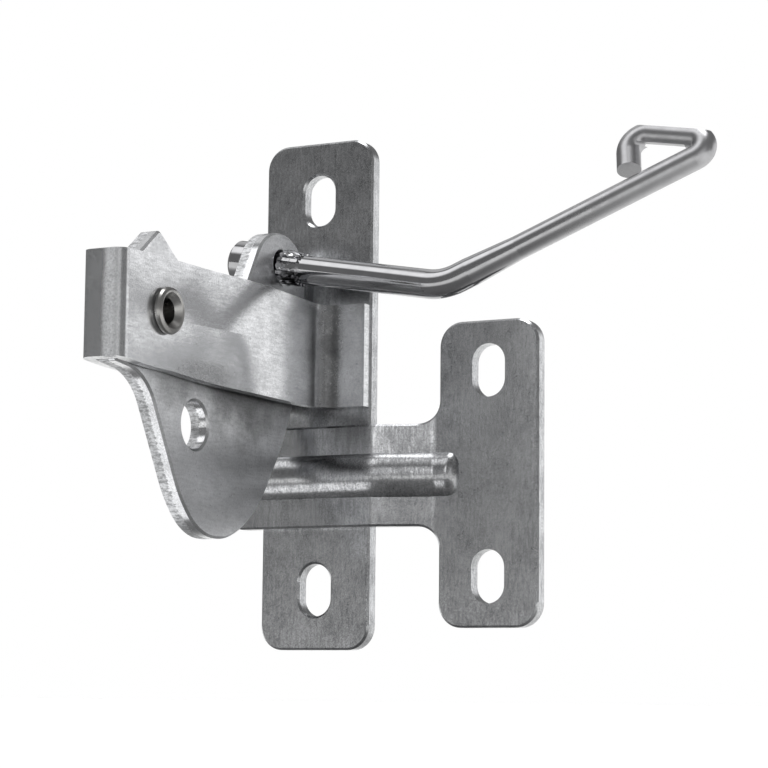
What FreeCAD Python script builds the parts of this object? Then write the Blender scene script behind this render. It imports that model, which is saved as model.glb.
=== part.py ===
import FreeCAD, Part
import math
import os
import Sketcher

# Gate latch, bright zinc plated steel.  Millimetres, +Z up, the wall and the
# gate lie in the plane Y = 0 and the latch stands out of it towards -Y.  The
# origin is the middle of the two slots of the post plate, on its back face.

V = FreeCAD.Vector
doc = FreeCAD.newDocument("gate_latch")
NEAR = 1e-4

# Driving sizes
SIZES = [
    ("postHeight", 108.0, "height of the post plate"),
    ("postWidth", 25.8, "width of the post plate"),
    ("plateThick", 3.0, "thickness of post plate and striker"),
    ("cornerRadius", 5.0, "rounded corners of both plates"),
    ("slotWidth", 7.4, "width of the four screw slots"),
    ("slotLength", 11.0, "length of the four screw slots"),
    ("postPitch", 83.0, "post plate, slot to slot"),
    ("edgeBreak", 0.45, "front edges, drawn in by the die"),
    ("housingReach", 75.3, "housing, from the post plate to its front"),
    ("strapHeight", 22.4, "height of the housing strap"),
    ("strapBottom", -3.3, "lower edge of the housing strap at its foot"),
    ("strapThick", 2.3, "sheet of the housing"),
    ("webBend", 2.4, "outside radius of the two front bends"),
    ("footBend", 3.9, "inside radius of the right foot's bend"),
    ("leftFootBend", 1.5, "inside radius of the left foot's bend"),
    ("footInset", 0.4, "right foot, in from the post plate's edge"),
    ("tongueThick", 4.0, "thickness of the tongue"),
    ("tongueLeft", -5.9, "left face of the tongue"),
    ("sideClear", 0.4, "tongue to each wall at the pivot"),
    ("rearClear", 2.3, "tongue to each wall near the post plate"),
    ("noseClear", 0.3, "tongue's nose to the front web"),
    ("rearClearY", 2.15, "tongue's back edge to the post plate"),
    ("pivotBack", 12.8, "pivot, behind the inside of the front web"),
    ("pivotZ", 9.1, "pivot, height"),
    ("rivetShank", 3.2, "radius of the rivet shank"),
    ("pivotClear", 0.05, "rivet shank to the tongue's hole"),
    ("rivetRing", 4.6, "radius of the rolled ring of the rivet"),
    ("padlockHole", 4.75, "radius of the padlock hole"),
    ("rodThick", 3.0, "radius of the rod near the ear"),
    ("rodThin", 2.45, "radius of the rod beyond its bend"),
    ("rodPlay", 0.45, "rod to the ear's loose hole"),
    ("rodRun", 40.45, "rod, from the ear to its bend"),
    ("rodReach", 64.0, "rod, from its bend to the turn of its eye"),
    ("headRadius", 4.65, "radius of the head on the rod's end"),
    ("strikeLeft", 29.0, "left edge of the striker plate"),
    ("strikeWidth", 22.4, "width of the striker plate"),
    ("strikeBottom", -49.5, "bottom edge of the striker plate"),
    ("strikeHeight", 62.8, "height of the striker plate"),
    ("strikePitch", 42.1, "striker, slot to slot"),
    ("armReach", 47.5, "striker arm, out from its plate"),
    ("armTop", -7.5, "top edge of the striker arm"),
    ("armHeight", 21.2, "height of the striker arm"),
    ("armStep", 3.3, "how far the arm is set forward"),
    ("neckFillet", 4.7, "rounded inner corners of arm and plate"),
    ("beadRadius", 5.7, "outside radius of the arm's bead"),
]
dims = doc.addObject("Spreadsheet::Sheet", "dims")
size = {}
for row, (word, value, note) in enumerate(SIZES, 1):
    dims.set("A%d" % row, word)
    dims.set("B%d" % row, repr(value))
    dims.set("C%d" % row, note)
    dims.setAlias("B%d" % row, word)
    size[word] = value
doc.recompute()


def bind(obj, prop, formula):
    obj.setExpression(prop, formula)


def new_body(word):
    return doc.addObject("PartDesign::Body", word)


def new_sketch(body, word, plane, offset=0.0):
    sk = body.newObject("Sketcher::SketchObject", word)
    base = [o for o in body.Origin.OriginFeatures if o.Role == plane][0]
    sk.AttachmentSupport = [(base, "")]
    sk.MapMode = "FlatFace"
    sk.AttachmentOffset = FreeCAD.Placement(V(0, 0, offset), FreeCAD.Rotation())
    return sk


def pad(body, word, sk, length, formula=None, both=False):
    p = body.newObject("PartDesign::Pad", word)
    p.Profile = sk
    p.Length = length
    p.Midplane = both
    if formula:
        bind(p, "Length", formula)
    sk.Visibility = False
    return p


def pocket_through(body, word, sk):
    p = body.newObject("PartDesign::Pocket", word)
    p.Profile = sk
    p.Type = "ThroughAll"
    p.Midplane = True
    sk.Visibility = False
    return p


def rectangle(sk, left, bottom, width, height, names):
    """A rectangle held by the sheet: names = (left, bottom, width, height)."""
    a, b = V(left, bottom, 0), V(left + width, bottom, 0)
    c, d = V(left + width, bottom + height, 0), V(left, bottom + height, 0)
    for p, q in ((a, b), (b, c), (c, d), (d, a)):
        sk.addGeometry(Part.LineSegment(p, q), False)
    con = Sketcher.Constraint
    for p, q in ((0, 1), (1, 2), (2, 3), (3, 0)):
        sk.addConstraint(con("Coincident", p, 2, q, 1))
    for g in (0, 2):
        sk.addConstraint(con("Horizontal", g))
    for g in (1, 3):
        sk.addConstraint(con("Vertical", g))
    held = [con("DistanceX", -1, 1, 0, 1, left), con("DistanceY", -1, 1, 0, 1, bottom),
            con("DistanceX", 0, 1, 0, 2, width), con("DistanceY", 1, 1, 1, 2, height)]
    for rule, formula in zip(held, names):
        k = sk.addConstraint(rule)
        bind(sk, "Constraints[%d]" % k, formula)


def slot(sk, x, z, names):
    """An upright slot; names = (centre x, upper centre z, lower centre z)."""
    r = size["slotWidth"] / 2.0
    half = (size["slotLength"] - size["slotWidth"]) / 2.0
    up, low = V(x, z + half, 0), V(x, z - half, 0)
    g = sk.addGeometry(Part.ArcOfCircle(Part.Circle(up, V(0, 0, 1), r), 0.0, math.pi), False)
    sk.addGeometry(Part.ArcOfCircle(Part.Circle(low, V(0, 0, 1), r), math.pi, 2 * math.pi), False)
    sk.addGeometry(Part.LineSegment(up + V(-r, 0, 0), low + V(-r, 0, 0)), False)
    sk.addGeometry(Part.LineSegment(low + V(r, 0, 0), up + V(r, 0, 0)), False)
    con = Sketcher.Constraint
    for p, pe, q, qe in ((g, 2, g + 2, 1), (g + 2, 2, g + 1, 1), (g + 1, 2, g + 3, 1), (g + 3, 2, g, 1)):
        sk.addConstraint(con("Tangent", p, pe, q, qe))
    sk.addConstraint(con("Equal", g, g + 1))
    held = [(con("Radius", g, r), "dims.slotWidth / 2"),
            (con("DistanceX", -1, 1, g, 3, x), names[0]),
            (con("DistanceY", -1, 1, g, 3, up.y), names[1]),
            (con("DistanceX", -1, 1, g + 1, 3, x), names[0]),
            (con("DistanceY", -1, 1, g + 1, 3, low.y), names[2])]
    for rule, formula in held:
        k = sk.addConstraint(rule)
        bind(sk, "Constraints[%d]" % k, formula)


def circle(sk, x, y, r, formula, xy=None):
    g = sk.addGeometry(Part.Circle(V(x, y, 0), V(0, 0, 1), r), False)
    con = Sketcher.Constraint
    k = sk.addConstraint(con("Radius", g, r))
    bind(sk, "Constraints[%d]" % k, formula)
    for kind, value, f in zip(("DistanceX", "DistanceY"), (x, y), xy or (None, None)):
        k = sk.addConstraint(con(kind, -1, 1, g, 3, value))
        if f:
            bind(sk, "Constraints[%d]" % k, f)


def outline(sk, start, moves):
    """Closed outline: a move of two numbers is a line to that point, a move of
    four numbers an arc through the first pair to the second pair."""
    here = V(start[0], start[1], 0)
    first = here
    for m in moves:
        end = V(m[-2], m[-1], 0)
        if len(m) == 2:
            sk.addGeometry(Part.LineSegment(here, end), False)
        else:
            sk.addGeometry(Part.Arc(here, V(m[0], m[1], 0), end), False)
        here = end
    if here.distanceToPoint(first) > NEAR:
        sk.addGeometry(Part.LineSegment(here, first), False)


def rounded_outline(sk, corners):
    """Closed outline given by its corners, each (y, z, radius of its rounding)."""
    arcs = []
    count = len(corners)
    for i, (x, y, r) in enumerate(corners):
        here = V(x, y, 0)
        before = (here - V(*corners[i - 1][:2], 0)).normalize()
        after = (V(*corners[(i + 1) % count][:2], 0) - here).normalize()
        angle = before.getAngle(after)
        reach = r * math.tan(angle / 2)
        inward = (after - before).normalize()
        centre = here + inward * (r / math.cos(angle / 2))
        arcs.append((here - before * reach, centre - inward * r, here + after * reach))
    for i, (p, q, e) in enumerate(arcs):
        sk.addGeometry(Part.Arc(p, q, e), False)
        sk.addGeometry(Part.LineSegment(e, arcs[(i + 1) % count][0]), False)


def edges_where(shape, test):
    """Names of the edges whose sampled points all pass the test."""
    names = []
    for i, e in enumerate(shape.Edges, 1):
        pts = [e.valueAt(e.FirstParameter + (e.LastParameter - e.FirstParameter) * k / 6.0)
               for k in range(7)]
        if all(test(p) for p in pts):
            names.append("Edge%d" % i)
    return names


def round_off(body, word, base, names):
    """Rounds the upright corners of a plate."""
    f = body.newObject("PartDesign::Fillet", word)
    f.Base = (base, names)
    f.Radius = size["cornerRadius"]
    bind(f, "Radius", "dims.cornerRadius")
    base.Visibility = False
    return f


def break_edges(body, word, base, names):
    f = body.newObject("PartDesign::Chamfer", word)
    f.Base = (base, names)
    f.Size = size["edgeBreak"]
    bind(f, "Size", "dims.edgeBreak")
    base.Visibility = False
    return f


# Post plate: a flat bar with rounded corners and two upright slots
post = new_body("post_plate")
w, h, t = size["postWidth"], size["postHeight"], size["plateThick"]
sk = new_sketch(post, "post_outline", "XZ_Plane")
rectangle(sk, -w / 2, -h / 2, w, h,
          ("-dims.postWidth / 2", "-dims.postHeight / 2", "dims.postWidth", "dims.postHeight"))
post_pad = pad(post, "post_bar", sk, t, "dims.plateThick")
doc.recompute()
corner = edges_where(
    post_pad.Shape, lambda p: abs(abs(p.x) - w / 2) < NEAR and abs(abs(p.z) - h / 2) < NEAR)
round_off(post, "post_corners", post_pad, corner)
sk = new_sketch(post, "post_slot_lines", "XZ_Plane")
for sign in (1, -1):
    middle = "%d * dims.postPitch / 2" % sign
    slot(sk, 0.0, sign * size["postPitch"] / 2,
         ("0", middle + " + (dims.slotLength - dims.slotWidth) / 2",
          middle + " - (dims.slotLength - dims.slotWidth) / 2"))
post_slots = pocket_through(post, "post_slots", sk)
doc.recompute()
front = edges_where(post_slots.Shape, lambda p: abs(p.y + t) < NEAR)
break_edges(post, "post_edge", post_slots, front)

# Places that several pieces share
post_front = -size["plateThick"]
web_front = post_front - size["housingReach"]
web_inside = web_front + size["strapThick"]
pivot_y = web_inside + size["pivotBack"]
tongue_right = size["tongueLeft"] + size["tongueThick"]
wall_right = tongue_right + size["sideClear"]
wall_left = size["tongueLeft"] - size["sideClear"]
strap_right = wall_right + size["strapThick"]
strap_left = wall_left - size["strapThick"]

# Housing: one strap bent round the tongue, its feet flat on the post plate.  Its
# walls are drawn in towards the front.  Half way up, the draw lies further out
# than along the strap's edges, so each wall is soft and hollow at its edges.
DRAW_START, DRAW_LENGTH, DRAW_LEAN = 22.0, 26.0, 8.0
FLAT_BEHIND, FLAT_AHEAD = 15.0, 11.5
DRAW_LAG = 0.12
FRONT_LAP = 2.0
EDGE_SPARE = 1.7
th = size["strapThick"]
strap_z = size["strapBottom"] - EDGE_SPARE
half_strap = size["strapHeight"] / 2 + EDGE_SPARE
widen = size["rearClear"] - size["sideClear"]
c45 = math.sqrt(0.5)
housing = new_body("latch_housing")

# Web, its two bends and the parallel front of both walls
bend = size["webBend"]
k = bend * (1 - c45)
front_walls = post_front - DRAW_START - DRAW_LENGTH - DRAW_LEAN - FRONT_LAP
sk = new_sketch(housing, "housing_front_plan", "XY_Plane", strap_z)
outline(sk, (strap_right, front_walls), [
    (strap_right, web_front + bend),
    (strap_right - k, web_front + k, strap_right - bend, web_front),
    (strap_left + bend, web_front),
    (strap_left + k, web_front + k, strap_left, web_front + bend),
    (strap_left, front_walls), (wall_left, front_walls), (wall_left, web_inside),
    (wall_right, web_inside), (wall_right, front_walls)])
pad(housing, "housing_front", sk, 2 * half_strap)


def drawn(x_from, y_from, x_to, y_to):
    """A soft S between two places of a wall, as two arcs."""
    half_x, half_y = (x_from + x_to) / 2, (y_from + y_to) / 2
    return [(x_from + (x_to - x_from) * DRAW_LAG, (y_from + half_y) / 2, half_x, half_y),
            (x_to + (x_from - x_to) * DRAW_LAG, (y_to + half_y) / 2, x_to, y_to)]


def drawn_walls(word, level, draw_start, lean):
    """The draw of both walls over half the strap's height, leaning by lean."""
    sk = new_sketch(housing, word + "_plan", "XY_Plane", level)
    rear, ahead = post_front - draw_start, post_front - draw_start - DRAW_LENGTH
    for wide, narrow, inwards in ((strap_right + widen, strap_right, -th),
                                  (strap_left - widen, strap_left, th)):
        outline(sk, (wide, rear + FLAT_BEHIND), [(wide, rear)]
                + drawn(wide, rear, narrow, ahead)
                + [(narrow, ahead - FLAT_AHEAD), (narrow + inwards, ahead - FLAT_AHEAD),
                   (narrow + inwards, ahead)]
                + drawn(narrow + inwards, ahead, wide + inwards, rear)
                + [(wide + inwards, rear + FLAT_BEHIND)])
    leaning = pad(housing, word, sk, half_strap)
    leaning.UseCustomVector = True
    leaning.Direction = V(0, lean / half_strap, 1)
    leaning.AlongSketchNormal = True


drawn_walls("housing_draw_lower", strap_z, DRAW_START, -DRAW_LEAN)
drawn_walls("housing_draw_upper", strap_z + half_strap, DRAW_START + DRAW_LEAN, DRAW_LEAN)

# Both feet with the rear of their walls; the left foot is short
out_r, in_r = strap_right + widen, wall_right + widen
out_l, in_l = strap_left - widen, wall_left - widen
foot_end = size["postWidth"] / 2 - size["footInset"]
foot_front = post_front - th
rear_walls = post_front - (FLAT_BEHIND + DRAW_START) / 2
bend_r, bend_l = size["footBend"], size["leftFootBend"]
cx, cy = out_r + bend_r, foot_front - bend_r
lx, ly = out_l - bend_l, foot_front - bend_l
stub = 0.8
sk = new_sketch(housing, "housing_feet_plan", "XY_Plane", strap_z)
outline(sk, (foot_end, post_front), [
    (foot_end, foot_front), (cx, foot_front),
    (cx - bend_r * c45, cy + bend_r * c45, out_r, cy), (out_r, rear_walls), (in_r, rear_walls),
    (in_r, cy), (cx - (bend_r + th) * c45, cy + (bend_r + th) * c45, cx, post_front)])
outline(sk, (lx - stub, post_front), [
    (lx - stub, foot_front), (lx, foot_front),
    (lx + bend_l * c45, ly + bend_l * c45, out_l, ly), (out_l, rear_walls), (in_l, rear_walls),
    (in_l, ly), (lx + (bend_l + th) * c45, ly + (bend_l + th) * c45, lx, post_front)])
pad(housing, "housing_feet", sk, 2 * half_strap)

# The strap's edges aren't quite parallel: the top edge falls towards the post
# plate, and the bottom edge rises towards the web
sk = new_sketch(housing, "housing_edge_trim", "YZ_Plane")
low, top = size["strapBottom"], size["strapBottom"] + size["strapHeight"]
clear = 4.0
outline(sk, (web_front - clear, top), [
    (web_front + 28.0, top + 0.35, post_front - 15.0, top - 0.45), (2.0, top - 1.2),
    (2.0, top + clear), (web_front - clear, top + clear)])
outline(sk, (web_front - clear, low + 2.6), [
    (web_front + 6.0, low + 1.55, web_front + 18.0, low + 1.15),
    (post_front - 27.0, low - 0.15, 2.0, low), (2.0, low - clear), (web_front - clear, low - clear)])
trimmed = pocket_through(housing, "housing_trim", sk)
sk = new_sketch(housing, "housing_pivot_line", "YZ_Plane")
circle(sk, pivot_y, size["pivotZ"], size["rivetShank"], "dims.rivetShank", (None, "dims.pivotZ"))
pierced = pocket_through(housing, "housing_pivot_holes", sk)

# Tongue: a thick plate that swings between the housing walls.  Its back and
# lobe are placed from the post plate, its front from the web.
tongue = new_body("latch_tongue")
back = post_front - size["rearClearY"]
nose = web_inside + size["noseClear"]
sk = new_sketch(tongue, "tongue_outline", "YZ_Plane", size["tongueLeft"])
bind(sk, "AttachmentOffset.Base.z", "dims.tongueLeft")
rounded_outline(sk, [
    # back edge, swept about the pivot, and the lobe
    (back, -0.2, 66.0), (back - 19.85, -28.95, 26.0), (back - 30.6, -32.8, 15.0),
    (back - 40.25, -32.8, 14.5), (back - 47.5, -25.55, 25.0),
    # front edge of the lobe and the nose that rests on the web
    (nose + 10.55, -3.0, 12.0), (nose, -1.7, 0.8), (nose, 14.0, 8.0),
    # stop at the top front, then the edge hidden between the walls
    (nose + 14.0, 25.5, 1.5), (nose + 27.45, 16.0, 12.0), (back - 25.75, 16.0, 5.0),
    # ear of the rod
    (back - 16.65, 32.4, 10.4), (back, 32.4, 9.0)])
blade = pad(tongue, "tongue_plate", sk, size["tongueThick"], "dims.tongueThick")
EAR_Y, EAR_Z = back - 10.15, 25.6
pivot_hole = size["rivetShank"] + size["pivotClear"]
rod_hole = size["rodThick"] + size["rodPlay"]
sk = new_sketch(tongue, "tongue_hole_lines", "YZ_Plane")
circle(sk, pivot_y, size["pivotZ"], pivot_hole, "dims.rivetShank + dims.pivotClear",
       (None, "dims.pivotZ"))
circle(sk, back - 42.55, -11.1, size["padlockHole"], "dims.padlockHole")
circle(sk, EAR_Y, EAR_Z, rod_hole, "dims.rodThick + dims.rodPlay")
tongue_cut = pocket_through(tongue, "tongue_holes", sk)
doc.recompute()


def tongue_rim(p):
    near_pivot = math.hypot(p.y - pivot_y, p.z - size["pivotZ"]) < pivot_hole + 0.5
    near_rod = math.hypot(p.y - EAR_Y, p.z - EAR_Z) < rod_hole + 0.5
    return abs(p.x - tongue_right) < NEAR and not near_pivot and not near_rod


break_edges(tongue, "tongue_edge", tongue_cut, edges_where(tongue_cut.Shape, tongue_rim))

# Pivot rivet: headed on the left, rolled over on the right, with a blind bore.
# Its section is drawn as distance along the pivot and radius.
rivet = new_body("pivot_rivet")
rivet.Placement = FreeCAD.Placement(V(0, pivot_y, 0), FreeCAD.Rotation())
bind(rivet, "Placement.Base.z", "dims.pivotZ")
sk = new_sketch(rivet, "rivet_section", "XZ_Plane")
r, ring = size["rivetShank"], size["rivetRing"]
head, seat = strap_left, strap_right
outline(sk, (head - 1.6, 0.0), [
    (head - 1.6, 2.0), (head - 1.1, 3.4), (head, 4.4), (head, r), (seat, r),
    (seat, ring - 0.6), (seat + 0.4, ring - 0.1), (seat + 0.9, ring), (seat + 1.4, ring - 0.2),
    (seat + 1.75, ring - 0.7), (seat + 1.6, ring - 1.1), (seat + 0.9, ring - 1.7),
    (seat + 0.4, r - 0.7), (head + 3.0, r - 0.7), (head + 2.0, 0.0)])
turned = rivet.newObject("PartDesign::Revolution", "rivet_turned")
turned.Profile = sk
turned.ReferenceAxis = (sk, ["H_Axis"])
turned.Angle = 360.0

# Striker: slotted plate and arm pressed from one sheet, the arm set forward
# over the post plate and stiffened by a round-ended bead
striker = new_body("striker_plate")
sk = new_sketch(striker, "striker_sheet_path", "XY_Plane", size["strikeBottom"])
bind(sk, "AttachmentOffset.Base.z", "dims.strikeBottom")
left = size["strikeLeft"]
right = left + size["strikeWidth"]
arm_end = left - size["armReach"]
STEP_RUN = 13.1
step_start, step_end = left - 1.0, left - 1.0 - STEP_RUN
front, step = -size["plateThick"], size["armStep"]
slope = step / STEP_RUN
outline(sk, (right, 0.0), [
    (right, front), (step_start + 1.0, front),
    (step_start, front - 0.05, step_start - 1.0, front - slope),
    (step_end + 1.0, front - step + slope),
    (step_end, front - step + 0.05, step_end - 1.0, front - step),
    (arm_end, front - step), (arm_end, -step), (step_end - 1.5, -step),
    (step_end - 0.5, -step + 0.05, step_end + 0.5, -step + slope),
    (step_start - 0.5, -slope), (step_start + 0.5, -0.05, step_start + 1.5, 0.0)])
sheet = pad(striker, "striker_sheet", sk, size["strikeHeight"], "dims.strikeHeight")
sk = new_sketch(striker, "striker_trim_lines", "XZ_Plane")
strike_top = size["strikeBottom"] + size["strikeHeight"]
top, low = size["armTop"], size["armTop"] - size["armHeight"]
over = 2.0
f, c = size["neckFillet"], 2.5
m = f * (1 - math.sqrt(0.5))
k = c * (1 - math.sqrt(0.5))
outline(sk, (left, strike_top + over), [
    (left, top + f), (left - m, top + m, left - f, top), (arm_end + c, top),
    (arm_end + k, top - k, arm_end, top - c), (arm_end - over, top - c),
    (arm_end - over, strike_top + over)])
outline(sk, (left, size["strikeBottom"] - over), [
    (left, low - f), (left - m, low - m, left - f, low), (arm_end + c, low),
    (arm_end + k, low + k, arm_end, low + c), (arm_end - over, low + c),
    (arm_end - over, size["strikeBottom"] - over)])
shaped = pocket_through(striker, "striker_trim", sk)
doc.recompute()


def plate_corner(p):
    side = abs(p.x - left) < NEAR or abs(p.x - right) < NEAR
    return side and (abs(p.z - size["strikeBottom"]) < NEAR or abs(p.z - strike_top) < NEAR)


strike_round = round_off(striker, "striker_corners", shaped, edges_where(shaped.Shape, plate_corner))
doc.recompute()


SHEET_SLACK = 0.12


def on_front(p):
    share = min(max((step_start - p.x) / STEP_RUN, 0.0), 1.0)
    return abs(p.y - (front - step * share)) < SHEET_SLACK


def crosses_sheet(edge):
    """True for a line across the arm, where two bends of the sheet meet."""
    a, b = edge.valueAt(edge.FirstParameter), edge.valueAt(edge.LastParameter)
    same_place = abs(a.x - b.x) < NEAR and arm_end + 0.01 < a.x < right - 1.0
    return same_place and low - f - 0.01 < min(a.z, b.z) and max(a.z, b.z) < top + f + 0.01


rim = [n for n in edges_where(strike_round.Shape, on_front)
       if not crosses_sheet(strike_round.Shape.getElement(n))]
break_edges(striker, "striker_edge", strike_round, rim)
sk = new_sketch(striker, "striker_slot_lines", "XZ_Plane")
for sign in (1, -1):
    middle = "dims.strikeBottom + dims.strikeHeight / 2 + %d * dims.strikePitch / 2" % sign
    slot(sk, left + size["strikeWidth"] / 2,
         size["strikeBottom"] + size["strikeHeight"] / 2 + sign * size["strikePitch"] / 2,
         ("dims.strikeLeft + dims.strikeWidth / 2",
          middle + " + (dims.slotLength - dims.slotWidth) / 2",
          middle + " - (dims.slotLength - dims.slotWidth) / 2"))
pocket_through(striker, "striker_slots", sk)

# Bead: a round bar that follows the sheet, kept in front of it, and the hollow
# behind it; both have a blunt end in the plate
BEAD_AXIS, BEAD_TURN = 0.5, 9.0
BEAD_START, BEAD_WALL = 4.7, 2.9
BEAD_END_ROUND, HOLLOW_START, HOLLOW_END_ROUND = 2.6, 2.5, 1.0
bead_z = size["armTop"] - size["armHeight"] / 2


def rounded_run(points, radii):
    """Edges of a path: straight runs joined by tangent arcs."""
    edges, here = [], points[0]
    for i in range(1, len(points) - 1):
        a = (points[i] - points[i - 1]).normalize()
        b = (points[i + 1] - points[i]).normalize()
        angle = a.getAngle(b)
        run = radii[i - 1] * math.tan(angle / 2)
        p, q = points[i] - a * run, points[i] + b * run
        inward = (b - a).normalize()
        centre = points[i] + inward * (radii[i - 1] / math.cos(angle / 2))
        middle = centre - inward * radii[i - 1]
        edges += [Part.LineSegment(here, p).toShape(), Part.Arc(p, middle, q).toShape()]
        here = q
    edges.append(Part.LineSegment(here, points[-1]).toShape())
    return edges


def swept(word, edges, radius, formula=None):
    spine = doc.addObject("Part::Feature", word + "_line")
    spine.Shape = Part.Wire(edges)
    start = edges[0].valueAt(edges[0].FirstParameter)
    ahead = edges[0].valueAt(edges[0].LastParameter) - start
    ring = doc.addObject("Part::Circle", word + "_section")
    ring.Radius = radius
    if formula:
        bind(ring, "Radius", formula)
    ring.Placement = FreeCAD.Placement(start, FreeCAD.Rotation(V(0, 0, 1), ahead))
    sweep = doc.addObject("Part::Sweep", word)
    sweep.Sections = [ring]
    sweep.Spine = (spine, ["Edge%d" % (i + 1) for i in range(len(edges))])
    sweep.Solid = True
    sweep.Frenet = False
    return sweep


def bead_bar(word, end_x, radius, end_kind, end_round):
    """Round bar along the sheet's path; its right end is rounded or chamfered."""
    path = [V(end_x, BEAD_AXIS, bead_z), V(step_start, BEAD_AXIS, bead_z),
            V(step_end, BEAD_AXIS - step, bead_z), V(arm_end - 1.5, BEAD_AXIS - step, bead_z)]
    bar = swept(word + "_bar", rounded_run(path, [BEAD_TURN, BEAD_TURN]), radius)
    doc.recompute()
    rim = edges_where(bar.Shape, lambda p: abs(p.x - end_x) < NEAR)
    blunt = doc.addObject(end_kind, word)
    blunt.Base = bar
    blunt.Edges = [(int(n[4:]), end_round, end_round) for n in rim]
    return blunt


band = new_body("bead_band")
sk = new_sketch(band, "bead_band_path", "XY_Plane", size["armTop"] - size["armHeight"])
inside = front / 2
outline(sk, (right - 6.0, inside), [
    (step_start, inside), (step_end, inside - step), (arm_end, inside - step),
    (arm_end, inside - step - 9.0), (right - 6.0, inside - 9.0)])
pad(band, "bead_band_pad", sk, size["armHeight"], "dims.armHeight")
bead_end = left + BEAD_START
outside = bead_bar("bead_outside", bead_end, size["beadRadius"], "Part::Fillet", BEAD_END_ROUND)
hollow = bead_bar("bead_hollow", bead_end - HOLLOW_START, size["beadRadius"] - BEAD_WALL,
                  "Part::Chamfer", HOLLOW_END_ROUND)
bead = doc.addObject("Part::MultiCommon", "bead_front")
bead.Shapes = [outside, band]
with_bead = doc.addObject("Part::MultiFuse", "striker_with_bead")
with_bead.Shapes = [striker, bead]
with_bead.Refine = True
pressed = doc.addObject("Part::Cut", "striker_pressed")
pressed.Base = with_bead
pressed.Tool = hollow

# Rod: drops a little from the loose hole in the ear, bends back and up, and
# ends in a hooked eye that leans on the wall
EAR = V((size["tongueLeft"] + tongue_right) / 2, EAR_Y, EAR_Z)
DROOP = math.radians(9.7)
STUB = 8.9
FIRST_BEND, TURN_BEND, SHOULDER_BEND = 11.0, 2.6, 3.6
SHOULDER_BACK, SHOULDER_UP = 18.14, 14.43
TIP_BACK, TIP_UP = 20.59, 5.1
along = V(math.cos(DROOP), 0, -math.sin(DROOP))
bend = EAR + along * size["rodRun"]
rise = V(0.8986, 0.1520, 0.4116).normalize()
eye_up = V(-0.437, 0.386, 0.812)
eye_up = (eye_up - rise * eye_up.dot(rise)).normalize()
turn = bend + rise * size["rodReach"]
shoulder = turn - rise * SHOULDER_BACK + eye_up * SHOULDER_UP
tip = turn - rise * TIP_BACK + eye_up * TIP_UP
taper_start, taper_length = 6.0, 11.0
taper_from = bend + rise * taper_start
taper_to = bend + rise * (taper_start + taper_length)
thick = swept("rod_first_run", rounded_run([EAR - along * STUB, bend, taper_from], [FIRST_BEND]),
              size["rodThick"], "dims.rodThick")
thin = swept("rod_second_run", rounded_run([taper_to, turn, shoulder, tip], [TURN_BEND, SHOULDER_BEND]),
             size["rodThin"], "dims.rodThin")
cone = doc.addObject("Part::Cone", "rod_taper")
bind(cone, "Radius1", "dims.rodThick")
bind(cone, "Radius2", "dims.rodThin")
cone.Height = taper_length
cone.Placement = FreeCAD.Placement(taper_from, FreeCAD.Rotation(V(0, 0, 1), rise))

# The wire's run between the two bends of the eye is pressed flatter, on its
# outside and towards the opening, by jaws that closed across press_axis
JAW_HALF, JAW_TALL = 3.0, 1.5
FLATS = [("outer", 1, 0.9, 0.0, 0.0), ("inner", -1, 0.7, 9.0, 3.4)]
press_axis = V(-0.466, 0.876, 0.124)
run = shoulder - turn
run_length = run.Length
run.normalize()
outward = press_axis.cross(run).normalize()
flats = []
for word, side, depth, from_turn, from_shoulder in FLATS:
    jaw = doc.addObject("Part::Box", "eye_flat_%s" % word)
    jaw.Length = run_length - from_turn - from_shoulder
    jaw.Width, jaw.Height = 2 * JAW_HALF, JAW_TALL if side > 0 else depth + 0.1
    turned_by = FreeCAD.Rotation(run, run.cross(outward) * -side, outward * side, "XZY")
    jaw.Placement = FreeCAD.Placement(
        turn + run * from_turn + outward * ((size["rodThin"] - depth) * side)
        - turned_by.multVec(V(0, JAW_HALF, 0)), turned_by)
    flats.append(jaw)
jaws = doc.addObject("Part::MultiFuse", "eye_flats")
jaws.Shapes = flats
eye = doc.addObject("Part::Cut", "rod_eye")
eye.Base = thin
eye.Tool = jaws

# Left of the ear the rod's end is upset into a head
HEAD_START, HEAD_EDGE = 2.9, 0.8
blank = doc.addObject("Part::Cylinder", "rod_head_blank")
bind(blank, "Radius", "dims.headRadius")
blank.Height = STUB - HEAD_START
blank.Placement = FreeCAD.Placement(EAR - along * HEAD_START, FreeCAD.Rotation(V(0, 0, 1), -along))
doc.recompute()
far_end = EAR - along * STUB
head_rim = edges_where(blank.Shape, lambda p: abs((p - far_end).dot(along)) < NEAR)
head = doc.addObject("Part::Chamfer", "rod_head")
head.Base = blank
head.Edges = [(int(n[4:]), HEAD_EDGE, HEAD_EDGE) for n in head_rim]

# Right of the ear, nips swaged out of the rod keep it in its hole
NIP_GAP, NIP_WIDTH, NIP_BARS, NIP_REACH, NIP_RISE = 0.8, 0.7, 8, 4.6, 0.8
nip_start = size["tongueThick"] / 2 + NIP_GAP
nip_wide = size["rodThick"] + NIP_RISE
bars = []
for n in range(NIP_BARS):
    bar = doc.addObject("Part::Box", "nip_bar_%d" % n)
    bar.Length, bar.Width, bar.Height = 2 * nip_wide, NIP_WIDTH, NIP_REACH
    turned_by = FreeCAD.Rotation(V(0, 0, 1), along).multiply(
        FreeCAD.Rotation(V(0, 0, 1), 180.0 / NIP_BARS * n))
    corner = turned_by.multVec(V(-nip_wide, -NIP_WIDTH / 2, 0))
    bar.Placement = FreeCAD.Placement(EAR + along * nip_start + corner, turned_by)
    bars.append(bar)
star = doc.addObject("Part::MultiFuse", "nip_star")
star.Shapes = bars
shell = doc.addObject("Part::Cone", "nip_slope")
shell.Radius1, shell.Radius2, shell.Height = nip_wide, nip_wide - 0.2, NIP_REACH
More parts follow.
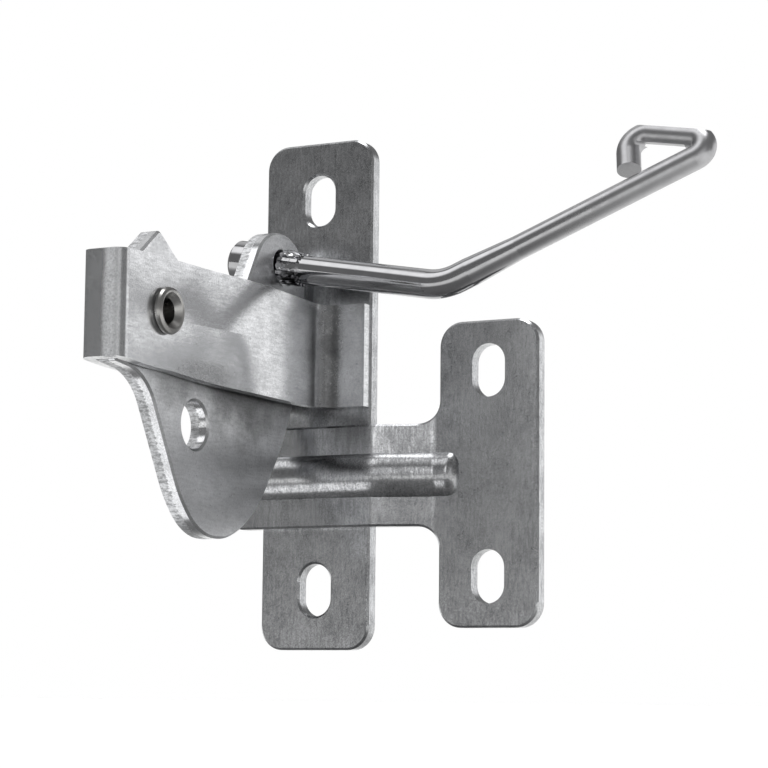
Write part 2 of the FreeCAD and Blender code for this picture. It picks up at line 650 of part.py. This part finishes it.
shell.Placement = FreeCAD.Placement(EAR + along * nip_start, FreeCAD.Rotation(V(0, 0, 1), along))
nips = doc.addObject("Part::MultiCommon", "nips")
nips.Shapes = [star, shell]
rod = doc.addObject("Part::MultiFuse", "pull_rod")
rod.Shapes = [thick, cone, eye, head, nips]
rod.Refine = True

doc.recompute()

NODES = [("post_plate", post), ("latch_housing", housing), ("latch_tongue", tongue),
         ("pivot_rivet", rivet), ("striker_plate", pressed), ("pull_rod", rod)]
for obj in doc.Objects:
    if "Invalid" in obj.State or "Error" in obj.State:
        raise RuntimeError("%s did not build: %s" % (obj.Name, obj.State))
os.makedirs("parts", exist_ok=True)
for word, obj in NODES:
    shape = obj.Shape
    if not shape.isValid() or len(shape.Solids) != 1:
        raise RuntimeError("%s: %d solids, valid %s" % (word, len(shape.Solids), shape.isValid()))
    shape.Solids[0].exportStep("parts/%s.step" % word)
    box = shape.BoundBox
    print("%-14s volume %8.1f mm3  x %.1f..%.1f  y %.1f..%.1f  z %.1f..%.1f" % (
        word, shape.Volume, box.XMin, box.XMax, box.YMin, box.YMax, box.ZMin, box.ZMax))
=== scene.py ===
# %% [markdown]
# # A gate latch in bright zinc-plated steel
# The latch is pressed sheet, one rivet and one bent wire. Everything with a size comes from
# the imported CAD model, so this script dresses it: it sets the camera and the light, and gives
# every piece the finish that zinc plating leaves on sheet, on sheared edges and on wire.

import math

import bpy
from mathutils import Matrix, Vector


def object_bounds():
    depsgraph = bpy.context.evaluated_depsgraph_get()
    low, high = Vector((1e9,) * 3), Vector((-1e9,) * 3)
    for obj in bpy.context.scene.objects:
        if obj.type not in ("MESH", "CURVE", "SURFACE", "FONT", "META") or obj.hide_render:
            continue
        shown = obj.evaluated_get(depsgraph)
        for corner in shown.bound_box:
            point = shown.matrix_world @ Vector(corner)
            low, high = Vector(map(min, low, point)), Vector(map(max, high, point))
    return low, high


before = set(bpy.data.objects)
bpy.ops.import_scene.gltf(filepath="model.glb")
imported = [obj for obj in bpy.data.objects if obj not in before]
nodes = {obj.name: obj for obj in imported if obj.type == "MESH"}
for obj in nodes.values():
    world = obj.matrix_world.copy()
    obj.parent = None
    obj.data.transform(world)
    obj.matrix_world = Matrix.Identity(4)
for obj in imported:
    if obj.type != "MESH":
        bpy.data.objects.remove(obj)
cad_box = [list(corner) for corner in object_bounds()]
MM = 0.001
print("pieces:", ", ".join(sorted(nodes)))

# %% [markdown]
# ## Camera
# The photograph was taken from the right and from slightly below, with a long lens. The camera
# could simply look at the middle of the latch, but a solved place and three angles put the edges
# where the photograph has them. The place is in millimetres in the latch's own frame, and the
# small roll tips the picture. The focal length is in pixels of the picture, so the lens follows
# from the width of the sensor. The Standard view keeps the white backdrop white.

# %% Camera
CAMERA_AT = Vector((257.87, -457.75, -63.11)) * MM
AZIMUTH, RISE, ROLL = math.radians(28.0), math.radians(7.12), math.radians(0.57)
SENSOR_MM = 36.0
FRAME_PX, FOCAL_PX = 768, 2487.11
NEAREST, FARTHEST = 0.01, 20.0

forward = Vector((-math.sin(AZIMUTH) * math.cos(RISE),
                  math.cos(AZIMUTH) * math.cos(RISE),
                  math.sin(RISE)))
level = Vector((math.cos(AZIMUTH), math.sin(AZIMUTH), 0.0))
upright = level.cross(forward)
right = level * math.cos(ROLL) + upright * math.sin(ROLL)
up = upright * math.cos(ROLL) - level * math.sin(ROLL)

lens = bpy.data.cameras.new("photo_lens")
lens.sensor_width = SENSOR_MM
lens.lens = SENSOR_MM * FOCAL_PX / FRAME_PX
lens.clip_start, lens.clip_end = NEAREST, FARTHEST
camera = bpy.data.objects.new("photo_camera", lens)
turn = Matrix((right, up, -forward)).transposed().to_4x4()
camera.matrix_world = Matrix.Translation(CAMERA_AT) @ turn
bpy.context.scene.collection.objects.link(camera)
bpy.context.scene.camera = camera
bpy.context.scene.view_settings.view_transform = "Standard"
print("lens %.1f mm, %.0f mm from the latch" % (lens.lens, CAMERA_AT.length / MM))

# %% [markdown]
# ## Nodes by hand
# A finish is a small node tree. One function adds a node, sets its values and links what feeds
# it, so that each material below reads from top to bottom. Colours are picked as sRGB hex values,
# and the shader wants linear light, so another function converts them. The last one turns the
# real size of a pattern into the scale that a noise texture asks for.

# %% Helpers for node trees
def add_node(tree, kind, links=None, **settings):
    """Adds a node. links gives its inputs, by name or number, a value or the socket that feeds it."""
    node = tree.nodes.new(kind)
    for name, value in settings.items():
        setattr(node, name, value)
    for socket, source in (links or {}).items():
        if isinstance(source, bpy.types.NodeSocket):
            tree.links.new(source, node.inputs[socket])
        else:
            node.inputs[socket].default_value = source
    return node


def linear(hex_colour):
    """Linear light, with full alpha, of a colour such as #d0d1d3, by the sRGB curve."""
    channels = [int(hex_colour[i:i + 2], 16) / 255.0 for i in (1, 3, 5)]
    return [c / 12.92 if c <= 0.04045 else ((c + 0.055) / 1.055) ** 2.4 for c in channels] + [1.0]


def per_metre(size_mm):
    """Noise scale whose features are about size_mm across."""
    return 1.0 / (size_mm * MM)

# %% [markdown]
# ## Studio
# Plated metal shows its surroundings more than itself, so an even sky would leave it flat. The
# light is painted on the sky as rectangular soft boxes with darker gaps between them. Each one is
# a range of azimuth times a range of elevation. The overhead one is a disc: every azimuth, close
# to the zenith. The camera itself sees a plain pale backdrop.

# %% Where the sky is looked at
SKY_BASE = 0.22
SOFT_BOXES = [
    # name, azimuth from -Y towards +X, elevation, half width, half height, soft edge, strength
    ("zenith", 0.0, 90.0, 180.0, 8.0, 12.0, 6.0),
    ("high_left", -46.0, 56.0, 27.0, 7.0, 14.0, 1.40),
    ("high_behind", -135.0, 50.0, 25.0, 8.0, 15.0, 0.50),
    ("front_right", 38.0, 6.0, 10.0, 9.0, 16.0, 0.42),
    ("behind_right", 146.0, 5.0, 24.0, 9.0, 15.0, 0.95),
]

world = bpy.data.worlds.new("studio")
bpy.context.scene.world = world
world.use_nodes = True
sky = world.node_tree
sky.nodes.clear()
gaze = add_node(sky, "ShaderNodeTexCoord").outputs["Generated"]
height = add_node(sky, "ShaderNodeSeparateXYZ", {0: gaze}).outputs["Z"]
elevation_seen = add_node(sky, "ShaderNodeMath", {0: height}, operation="ARCSINE").outputs[0]
heading = add_node(sky, "ShaderNodeVectorMath", {0: gaze, 1: (1.0, 1.0, 0.0)},
                   operation="MULTIPLY").outputs[0]
heading = add_node(sky, "ShaderNodeVectorMath", {0: heading}, operation="NORMALIZE").outputs[0]
print("sky of strength", SKY_BASE, "between the boxes")


# %% Soft boxes
def inside(off, half, soft):
    """1 where an angle is under half, falling to 0 over the soft edge."""
    return add_node(sky, "ShaderNodeMapRange",
                    {"Value": off, "From Min": math.radians(half + soft),
                     "From Max": math.radians(half)},
                    interpolation_type="SMOOTHSTEP").outputs["Result"]


total = SKY_BASE
for label, azimuth, elevation, half_width, half_height, soft, strength in SOFT_BOXES:
    a = math.radians(azimuth)
    cosine = add_node(sky, "ShaderNodeVectorMath", {0: heading, 1: (math.sin(a), -math.cos(a), 0.0)},
                      operation="DOT_PRODUCT", label=label).outputs["Value"]
    aside = add_node(sky, "ShaderNodeMath", {0: cosine}, operation="ARCCOSINE").outputs[0]
    off = add_node(sky, "ShaderNodeMath", {0: elevation_seen, 1: math.radians(elevation)},
                   operation="SUBTRACT").outputs[0]
    off = add_node(sky, "ShaderNodeMath", {0: off}, operation="ABSOLUTE").outputs[0]
    lit = add_node(sky, "ShaderNodeMath",
                   {0: inside(aside, half_width, soft), 1: inside(off, half_height, soft)},
                   operation="MULTIPLY").outputs[0]
    total = add_node(sky, "ShaderNodeMath", {0: lit, 1: strength, 2: total},
                     operation="MULTIPLY_ADD").outputs[0]
    print(label, "at azimuth %.0f, elevation %.0f" % (azimuth, elevation))

# %% Backdrop for the camera
WHITE = (1.0, 1.0, 1.0, 1.0)
studio_light = add_node(sky, "ShaderNodeBackground", {"Color": WHITE, "Strength": total})
backdrop = add_node(sky, "ShaderNodeBackground", {"Color": WHITE, "Strength": 1.0})
seen = add_node(sky, "ShaderNodeLightPath").outputs["Is Camera Ray"]
both = add_node(sky, "ShaderNodeMixShader",
                {0: seen, 1: studio_light.outputs[0], 2: backdrop.outputs[0]})
add_node(sky, "ShaderNodeOutputWorld", {"Surface": both.outputs[0]})
print("sky with", len(SOFT_BOXES), "soft boxes")

# %% [markdown]
# ## Floor
# The floor is plain, pale and softly lit to the eye. In reflections it is darker near the latch,
# as a table is in the shade of what hangs over it, and that keeps the undersides from washing
# out. The dark spot fades to the pale floor with the distance from a point that lies below the
# latch, just ahead of its front.

# %% Floor plane
FLOOR_DROP = 30.0 * MM
FLOOR_REACH = 6.0
floor_z = cad_box[0][2] - FLOOR_DROP
corners = [(-FLOOR_REACH, -FLOOR_REACH, floor_z), (FLOOR_REACH, -FLOOR_REACH, floor_z),
           (FLOOR_REACH, FLOOR_REACH, floor_z), (-FLOOR_REACH, FLOOR_REACH, floor_z)]
floor_mesh = bpy.data.meshes.new("floor")
floor_mesh.from_pydata(corners, [], [(0, 1, 2, 3)])
floor = bpy.data.objects.new("floor", floor_mesh)
bpy.context.scene.collection.objects.link(floor)
print("floor %.0f mm under the latch" % (FLOOR_DROP / MM))

# %% Floor finish
SHADED, PALE = "#858585", "#f7f7f5"
SHADE_CENTRE = Vector((-12.0 * MM, -100.0 * MM, floor_z))
SHADE_INNER, SHADE_OUTER = 90.0 * MM, 235.0 * MM
FLOOR_ROUGHNESS = 0.9
FLOOR_GLOW = 0.35

pale = bpy.data.materials.new("pale_floor")
pale.use_nodes = True
tree = pale.node_tree
pale_shader = tree.nodes["Principled BSDF"]
ground = add_node(tree, "ShaderNodeTexCoord").outputs["Object"]
away = add_node(tree, "ShaderNodeVectorMath", {0: ground, 1: SHADE_CENTRE},
                operation="DISTANCE").outputs["Value"]
bright = add_node(tree, "ShaderNodeMapRange",
                  {"Value": away, "From Min": SHADE_INNER, "From Max": SHADE_OUTER},
                  interpolation_type="SMOOTHSTEP").outputs["Result"]
looked_at = add_node(tree, "ShaderNodeLightPath").outputs["Is Camera Ray"]
bright = add_node(tree, "ShaderNodeMath", {0: bright, 1: looked_at}, operation="MAXIMUM").outputs[0]
shade = add_node(tree, "ShaderNodeMix", {0: bright, 6: linear(SHADED), 7: linear(PALE)},
                 data_type="RGBA").outputs[2]
glow = add_node(tree, "ShaderNodeMath", {0: bright, 1: FLOOR_GLOW}, operation="MULTIPLY").outputs[0]
tree.links.new(shade, pale_shader.inputs["Base Color"])
tree.links.new(glow, pale_shader.inputs["Emission Strength"])
pale_shader.inputs["Emission Color"].default_value = WHITE
pale_shader.inputs["Roughness"].default_value = FLOOR_ROUGHNESS
floor_mesh.materials.append(pale)
print("floor from", SHADED, "by the latch to", PALE, "far away")

# %% [markdown]
# ## Two reflector cards
# Two small cards stand close to the latch. The one in front lights the slanting step of the
# striker's arm and its bead. The one low on the left lights the sheared rim of the tongue and the
# bead's underside. Each lights only the pieces listed for it, as black flags in a studio would
# keep it off the rest. Their power is worked out from an even radiance, so that a card of another
# size would look just as bright. The camera doesn't see them.

# %% Reflector cards
CARDS = [
    # name, centre, width and height in millimetres, what it faces, radiance, what it lights
    ("front_card", (4.0, -205.0, 52.0), (48.0, 106.0), (0.0, 1.0, 0.0), 1.35, ["striker_plate"]),
    ("low_left_card", (-45.0, -88.0, -83.0), (62.0, 92.0), (0.0, 0.0, 1.0), 1.10,
     ["latch_tongue", "striker_plate", "post_plate"]),
]
for label, centre, (wide, tall), faces, radiance, lit_pieces in CARDS:
    card = bpy.data.lights.new(label, "AREA")
    card.shape = "RECTANGLE"
    card.size, card.size_y = wide * MM, tall * MM
    card.energy = radiance * math.pi * card.size * card.size_y
    held = bpy.data.objects.new(label, card)
    held.location = Vector(centre) * MM
    held.rotation_euler = (-Vector(faces)).to_track_quat("Z", "Y").to_euler()
    held.visible_camera = False
    bpy.context.scene.collection.objects.link(held)
    lit = bpy.data.collections.new(label + "_lights")
    for piece in lit_pieces:
        lit.objects.link(nodes[piece])
    held.light_linking.receiver_collection = lit
    print(label, "%.0f x %.0f mm, lights" % (wide, tall), ", ".join(lit_pieces))

# %% [markdown]
# ## Zinc-plated sheet
# Bright zinc is electroplated on cold-rolled sheet and passivated clear. It gives a metal mirror
# with a slightly cool grey, blurred by the rolling: fine streaks along the strip, a mottled
# dullness a few millimetres across, a fine grain and a speckle of tiny pits. The streaks run
# upright on both plates, as the strip did, and along the strap of the housing. Noise in the
# piece's own coordinates needs no unwrapping and keeps its real size. The real grain is finer
# than the render can show, so it is drawn about a third of a millimetre across.

# %% Zinc sheet finish
STREAK_MM, MOTTLE_MM, GRAIN_MM, PIT_MM = 0.5, 6.0, 0.35, 1.6
STREAK_SQUEEZE = 0.16
STREAK_SHARE, MOTTLE_SHARE, GRAIN_SHARE = 0.34, 0.36, 0.30
DARK_UNDER, LIGHT_OVER = 0.40, 0.60
DULL_UNDER, SHINY_OVER = 0.3, 0.7
DULLER, SHINIER = 0.08, 0.06
PIT_CORE, PIT_EDGE, PIT_DARKEST = 0.05, 0.12, 0.62
RELIEF_DEPTH = 0.03 * MM


def zinc_sheet(name, light, dark, rough, streak_along, relief):
    """Satin zinc plate. streak_along is the way of the rolling marks, relief how strong they are."""
    mat = bpy.data.materials.new(name)
    mat.use_nodes = True
    tree = mat.node_tree
    shader = tree.nodes["Principled BSDF"]
    spot = add_node(tree, "ShaderNodeTexCoord").outputs["Object"]
    squeeze = [1.0, 1.0, 1.0]
    squeeze["XYZ".index(streak_along)] = STREAK_SQUEEZE
    along = add_node(tree, "ShaderNodeMapping", {"Vector": spot, "Scale": squeeze}).outputs[0]
    streaks = add_node(tree, "ShaderNodeTexNoise", {"Vector": along, "Scale": per_metre(STREAK_MM),
                                                    "Detail": 4.0, "Roughness": 0.6}).outputs[0]
    mottle = add_node(tree, "ShaderNodeTexNoise", {"Vector": spot, "Scale": per_metre(MOTTLE_MM),
                                                   "Detail": 5.0, "Roughness": 0.65}).outputs[0]
    grain = add_node(tree, "ShaderNodeTexNoise", {"Vector": spot, "Scale": per_metre(GRAIN_MM),
                                                  "Detail": 2.0, "Roughness": 0.5}).outputs[0]
    blend = 0.0
    for pattern, share in ((streaks, STREAK_SHARE), (mottle, MOTTLE_SHARE), (grain, GRAIN_SHARE)):
        blend = add_node(tree, "ShaderNodeMath", {0: pattern, 1: share, 2: blend},
                         operation="MULTIPLY_ADD").outputs[0]
    shade = add_node(tree, "ShaderNodeMapRange",
                     {"Value": blend, "From Min": DARK_UNDER, "From Max": LIGHT_OVER}).outputs[0]
    colour = add_node(tree, "ShaderNodeMix", {0: shade, 6: linear(dark), 7: linear(light)},
                      data_type="RGBA").outputs[2]
    pits = add_node(tree, "ShaderNodeTexVoronoi",
                    {"Vector": spot, "Scale": per_metre(PIT_MM)}).outputs["Distance"]
    clear = add_node(tree, "ShaderNodeMapRange",
                     {"Value": pits, "From Min": PIT_CORE, "From Max": PIT_EDGE,
                      "To Min": PIT_DARKEST, "To Max": 1.0}).outputs[0]
    colour = add_node(tree, "ShaderNodeMix", {0: 1.0, 6: colour, 7: clear},
                      data_type="RGBA", blend_type="MULTIPLY").outputs[2]
    dull = add_node(tree, "ShaderNodeMapRange",
                    {"Value": blend, "From Min": DULL_UNDER, "From Max": SHINY_OVER,
                     "To Min": rough + DULLER, "To Max": rough - SHINIER}).outputs[0]
    bump = add_node(tree, "ShaderNodeBump",
                    {"Height": blend, "Strength": relief, "Distance": RELIEF_DEPTH}).outputs[0]
    tree.links.new(colour, shader.inputs["Base Color"])
    tree.links.new(dull, shader.inputs["Roughness"])
    tree.links.new(bump, shader.inputs["Normal"])
    shader.inputs["Metallic"].default_value = 1.0
    return mat


plate_zinc = zinc_sheet("bright_zinc_plate", "#d0d1d3", "#939496", 0.23, "Z", 0.40)
housing_zinc = zinc_sheet("bright_zinc_housing", "#e0e1e3", "#bcbdbf", 0.22, "Y", 0.22)
tongue_zinc = zinc_sheet("bright_zinc_tongue", "#e6e7e9", "#c4c5c7", 0.31, "Y", 0.35)
print("sheet finishes:", plate_zinc.name, housing_zinc.name, tongue_zinc.name)

# %% [markdown]
# ## Painted shade and highlights on housing and tongue
# The sheet doesn't look evenly bright, and these marks paint that light and shade into its colour.
# The dark ones are painted shade: along the foot's bend, on the wall's lower roll and on the lobe
# under the wall and by the nose, where this light leaves the sheet too bright. The pale ones are
# painted light: a highlight on the front bend, the bead's reflection on the lower lobe and a sheen
# on the ear. Each mark is a soft blot with an uneven edge, multiplied into the colour, and its
# added roughness dulls the finish there.

# %% Painted shade and highlights
HOUSING_PAINTED_LIGHT = [
    # where, centre and reach in millimetres, brightness there as a share, roughness added
    # painted shade: the flange inside the foot's bend lies in the wall's shade
    ("shade in the foot's bend", (3.8, -4.4, 8.0), (4.4, 4.0, 40.0), 0.20, 0.08),
    # painted highlight along the rounded front bend; the added roughness dulls it
    ("highlight on the front bend", (-1.9, -78.3, 9.0), (2.0, 2.0, 40.0), 1.30, 0.35),
    # painted shade in the soft hollow low on the wall
    ("shade on the wall's lower roll", (2.2, -50.0, -1.5), (6.0, 16.0, 4.0), 0.66, 0.04),
]
TONGUE_PAINTED_LIGHT = [
    # painted shadow of the wall's lower edge on the lobe
    ("shadow under the wall on the lobe", (-1.9, -30.0, -1.0), (2.0, 26.0, 15.0), 0.30, 0.10),
    # painted shade, dimming a reflection this light leaves too bright
    ("shade on the lobe by the nose", (-1.9, -56.0, -2.0), (2.0, 12.0, 9.0), 0.60, 0.06),
    # painted reflection of the striker's bright bead on the lower lobe
    ("bead's reflection on the lower lobe", (-1.9, -42.0, -22.0), (2.0, 13.0, 6.0), 1.22, 0.0),
    # painted sheen on the ear's face; its added roughness is the ear's duller finish
    ("sheen on the ear", (-1.9, -13.0, 27.0), (6.0, 10.0, 9.0), 1.30, 0.30),
]
EDGE_UNEVENNESS = 0.5
MARK_FULL, MARK_GONE = 0.55, 1.25


def add_painted_light(mat, place, centre, reach, share, roughness):
    """Paints shade into the colour round centre where share is under 1, and light where share is over
    1.
    """
    tree = mat.node_tree
    shader = tree.nodes["Principled BSDF"]
    colour = shader.inputs["Base Color"].links[0].from_socket
    dull = shader.inputs["Roughness"].links[0].from_socket
    spot = add_node(tree, "ShaderNodeTexCoord").outputs["Object"]
    mottle = add_node(tree, "ShaderNodeTexNoise", {"Vector": spot, "Scale": per_metre(MOTTLE_MM),
                                                   "Detail": 5.0, "Roughness": 0.65}).outputs[0]
    off = add_node(tree, "ShaderNodeVectorMath", {0: spot, 1: [c * MM for c in centre]},
                   operation="SUBTRACT", label=place).outputs[0]
    off = add_node(tree, "ShaderNodeVectorMath", {0: off, 1: [1.0 / (r * MM) for r in reach]},
                   operation="MULTIPLY").outputs[0]
    off = add_node(tree, "ShaderNodeVectorMath", {0: off}, operation="LENGTH").outputs["Value"]
    off = add_node(tree, "ShaderNodeMath", {0: mottle, 1: EDGE_UNEVENNESS, 2: off},
                   operation="MULTIPLY_ADD").outputs[0]
    mark = add_node(tree, "ShaderNodeMapRange",
                    {"Value": off, "From Min": MARK_GONE, "From Max": MARK_FULL},
                    interpolation_type="SMOOTHSTEP").outputs[0]
    kept = add_node(tree, "ShaderNodeMapRange",
                    {"Value": mark, "To Min": 1.0, "To Max": share}).outputs[0]
    marked = add_node(tree, "ShaderNodeMix", {0: 1.0, 6: colour, 7: kept},
                      data_type="RGBA", blend_type="MULTIPLY").outputs[2]
    duller = add_node(tree, "ShaderNodeMath", {0: mark, 1: roughness, 2: dull},
                      operation="MULTIPLY_ADD").outputs[0]
    tree.links.new(marked, shader.inputs["Base Color"])
    tree.links.new(duller, shader.inputs["Roughness"])


for mat, marks in ((housing_zinc, HOUSING_PAINTED_LIGHT), (tongue_zinc, TONGUE_PAINTED_LIGHT)):
    for mark in marks:
        add_painted_light(mat, *mark)
    print(mat.name, "with", len(marks), "marks")

# %% [markdown]
# ## Sheared rim of the tongue
# The punch cut through half of the plate and tore through the rest. The cut half of the rim, next
# to the right face, is burnished. The torn half is coarse, with short dark tears across it. The
# normal tells the rim from the flat faces, because only the faces look along the x axis, so the
# same finish serves the rim of the hole.

# %% Cut and torn rim
TEAR_MM, TEAR_SQUEEZE = 0.45, 0.35
FACE_OVER, RIM_UNDER = 0.5, 0.3
CUT_WAVE_MM, CUT_EDGE_MM = 2.0, 0.1
TEAR_UNDER, METAL_OVER = 0.40, 0.56
TORN_DARKEST, TORN_LIGHTEST = 0.60, 1.15
CUT_SMOOTHER, TORN_ROUGHER = -0.14, 0.30


def tear_rim(mat, cut_x):
    """Tears the rim left of cut_x, in millimetres, and burnishes the part right of it."""
    tree = mat.node_tree
    shader = tree.nodes["Principled BSDF"]
    colour = shader.inputs["Base Color"].links[0].from_socket
    dull = shader.inputs["Roughness"].links[0].from_socket
    place = add_node(tree, "ShaderNodeTexCoord")
    spot = place.outputs["Object"]
    across = add_node(tree, "ShaderNodeSeparateXYZ", {0: spot}).outputs["X"]
    sideways = add_node(tree, "ShaderNodeSeparateXYZ", {0: place.outputs["Normal"]}).outputs["X"]
    sideways = add_node(tree, "ShaderNodeMath", {0: sideways}, operation="ABSOLUTE").outputs[0]
    rim = add_node(tree, "ShaderNodeMapRange",
                   {"Value": sideways, "From Min": FACE_OVER, "From Max": RIM_UNDER}).outputs[0]
    stretched = add_node(tree, "ShaderNodeMapping",
                         {"Vector": spot, "Scale": (TEAR_SQUEEZE, 1.0, 1.0)}).outputs[0]
    tears = add_node(tree, "ShaderNodeTexNoise", {"Vector": stretched, "Scale": per_metre(TEAR_MM),
                                                  "Detail": 4.0, "Roughness": 0.7}).outputs[0]
    edge = add_node(tree, "ShaderNodeMath", {0: tears, 1: CUT_WAVE_MM * MM, 2: across},
                    operation="MULTIPLY_ADD").outputs[0]
    middle = cut_x + CUT_WAVE_MM / 2.0
    torn = add_node(tree, "ShaderNodeMapRange",
                    {"Value": edge, "From Min": (middle + CUT_EDGE_MM) * MM,
                     "From Max": (middle - CUT_EDGE_MM) * MM}).outputs[0]
    torn = add_node(tree, "ShaderNodeMath", {0: torn, 1: rim}, operation="MULTIPLY").outputs[0]
    pitted = add_node(tree, "ShaderNodeMapRange",
                      {"Value": tears, "From Min": TEAR_UNDER, "From Max": METAL_OVER,
                       "To Min": TORN_DARKEST, "To Max": TORN_LIGHTEST}).outputs[0]
    torn_colour = add_node(tree, "ShaderNodeMix", {0: 1.0, 6: colour, 7: pitted},
                           data_type="RGBA", blend_type="MULTIPLY").outputs[2]
    rim_colour = add_node(tree, "ShaderNodeMix", {0: torn, 6: colour, 7: torn_colour},
                          data_type="RGBA").outputs[2]
    smooth = add_node(tree, "ShaderNodeMath", {0: rim, 1: CUT_SMOOTHER, 2: dull},
                      operation="MULTIPLY_ADD").outputs[0]
    rim_dull = add_node(tree, "ShaderNodeMath", {0: torn, 1: TORN_ROUGHER, 2: smooth},
                        operation="MULTIPLY_ADD").outputs[0]
    tree.links.new(rim_colour, shader.inputs["Base Color"])
    tree.links.new(rim_dull, shader.inputs["Roughness"])


HALF_CUT_X = -3.9
tear_rim(tongue_zinc, HALF_CUT_X)
print("tongue's rim torn left of x = %.1f mm" % HALF_CUT_X)

# %% [markdown]
# ## Drawn wire
# The rod is drawn wire, so it is smoother than sheet and shows long thin highlights. A faint
# cloud in its colour and roughness keeps those highlights from looking polished.

# %% Wire finish
CLOUD_MM = 3.0
CLOUD_UNEVENNESS = 0.04


def drawn_zinc(name, light, dark, rough):
    """Smooth zinc plate on wire or on a spun head, with a faint cloud in it."""
    mat = bpy.data.materials.new(name)
    mat.use_nodes = True
    tree = mat.node_tree
    shader = tree.nodes["Principled BSDF"]
    spot = add_node(tree, "ShaderNodeTexCoord").outputs["Object"]
    cloud = add_node(tree, "ShaderNodeTexNoise", {"Vector": spot, "Scale": per_metre(CLOUD_MM),
                                                  "Detail": 5.0, "Roughness": 0.6}).outputs[0]
    colour = add_node(tree, "ShaderNodeMix", {0: cloud, 6: linear(dark), 7: linear(light)},
                      data_type="RGBA").outputs[2]
    dull = add_node(tree, "ShaderNodeMapRange",
                    {"Value": cloud, "From Min": DULL_UNDER, "From Max": SHINY_OVER,
                     "To Min": rough + CLOUD_UNEVENNESS,
                     "To Max": rough - CLOUD_UNEVENNESS}).outputs[0]
    tree.links.new(colour, shader.inputs["Base Color"])
    tree.links.new(dull, shader.inputs["Roughness"])
    shader.inputs["Metallic"].default_value = 1.0
    return mat


wire_zinc = drawn_zinc("bright_zinc_wire", "#c2c2c4", "#a6a6a8", 0.09)
print("wire finish:", wire_zinc.name)

# %% [markdown]
# ## Facets between the nips
# Right of the ear the swaging jaws raised the nips, which are real shapes of the rod, and left
# small uneven facets between them. The facets are shallow, so they are a bump only, which fades
# out a few millimetres from the nips.

# %% Crushed part of the wire
NIPS_AT, NIPS_REACH = (0.4, -15.3, 24.9), 3.9
FADES_FROM = 0.8
FACET_MM, FACET_DEPTH, FACET_STRENGTH = 1.1, 0.45 * MM, 0.9


def crush(mat, centre, reach):
    """Leaves the small facets of the swaging jaws round centre, both in millimetres."""
    tree = mat.node_tree
    shader = tree.nodes["Principled BSDF"]
    spot = add_node(tree, "ShaderNodeTexCoord").outputs["Object"]
    off = add_node(tree, "ShaderNodeVectorMath", {0: spot, 1: [c * MM for c in centre]},
                   operation="DISTANCE").outputs["Value"]
    near = add_node(tree, "ShaderNodeMapRange",
                    {"Value": off, "From Min": reach * MM,
                     "From Max": FADES_FROM * reach * MM}).outputs[0]
    facets = add_node(tree, "ShaderNodeTexVoronoi",
                      {"Vector": spot, "Scale": per_metre(FACET_MM)}).outputs["Distance"]
    dents = add_node(tree, "ShaderNodeMath", {0: facets, 1: near}, operation="MULTIPLY").outputs[0]
    bump = add_node(tree, "ShaderNodeBump", {"Height": dents, "Strength": FACET_STRENGTH,
                                             "Distance": FACET_DEPTH}).outputs[0]
    tree.links.new(bump, shader.inputs["Normal"])


crush(wire_zinc, NIPS_AT, NIPS_REACH)
print("facets within %.1f mm of the nips" % NIPS_REACH)

# %% [markdown]
# ## Dulled hook
# The hook was bent and pressed between jaws, so the wire turns from a near mirror to satin along
# its slanting run, and stays satin round the hook.

# %% Hook of the rod
DULL_FROM_X, DULL_TO_X = 30.0, 76.0
HOOK_DULLER = 0.24


def dull_hook(mat, start_x, end_x, roughness):
    """Dulls the wire gradually from start_x to end_x, in millimetres, and beyond."""
    tree = mat.node_tree
    shader = tree.nodes["Principled BSDF"]
    drawn = shader.inputs["Roughness"].links[0].from_socket
    spot = add_node(tree, "ShaderNodeTexCoord").outputs["Object"]
    along = add_node(tree, "ShaderNodeSeparateXYZ", {0: spot}).outputs["X"]
    hook = add_node(tree, "ShaderNodeMapRange",
                    {"Value": along, "From Min": start_x * MM, "From Max": end_x * MM}).outputs[0]
    dull = add_node(tree, "ShaderNodeMath", {0: hook, 1: roughness, 2: drawn},
                    operation="MULTIPLY_ADD").outputs[0]
    tree.links.new(dull, shader.inputs["Roughness"])


dull_hook(wire_zinc, DULL_FROM_X, DULL_TO_X, HOOK_DULLER)
print("rod dulled from x = %.0f to %.0f mm" % (DULL_FROM_X, DULL_TO_X))

# %% [markdown]
# ## Rivet and the pieces
# The rivet was spun over, which rubbed its plating to a darker, duller ring. It takes the wire's
# finish in darker greys. Then every piece gets its own finish on the slots that the CAD gave it.

# %% Finishes on the pieces
rivet_zinc = drawn_zinc("spun_zinc_rivet", "#c4c3c1", "#989795", 0.30)
FINISH = {
    "post_plate": plate_zinc,
    "striker_plate": plate_zinc,
    "latch_housing": housing_zinc,
    "latch_tongue": tongue_zinc,
    "pivot_rivet": rivet_zinc,
    "pull_rod": wire_zinc,
}
for name, finish in FINISH.items():
    for slot in nodes[name].material_slots:
        slot.material = finish
    print(name, "->", finish.name)
